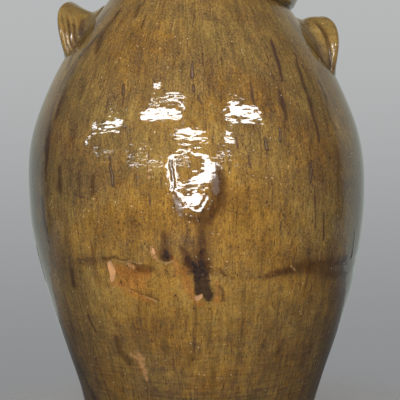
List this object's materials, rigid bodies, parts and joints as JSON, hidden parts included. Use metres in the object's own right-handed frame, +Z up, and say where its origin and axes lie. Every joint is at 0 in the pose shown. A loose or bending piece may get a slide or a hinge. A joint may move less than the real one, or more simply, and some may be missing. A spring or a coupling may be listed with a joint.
{
  "type": "stoneware storage jar",
  "caption": "Large egg-shaped storage jar of glazed stoneware, open at the top, with a rolled rim that leans a little and a thick lug handle on each side of the shoulder.",
  "frame": {"origin": "middle of the flat foot, on the axis the jar was turned on", "axes": "+Z up along the turning axis, -Y the front that the picture shows, +X to the viewer's right, so the two handles stand at -X and +X"},
  "size_m": [0.34, 0.34, 0.4875],
  "materials": {
    "glaze": "glossy olive-brown alkaline glaze, runny and streaked, over tan stoneware"
  },
  "bodies": {
    "root": {"lower_wall": "glaze", "upper_wall": "glaze", "rim_collar": "glaze", "left_handle": "glaze", "right_handle": "glaze"}
  },
  "joints": []
}
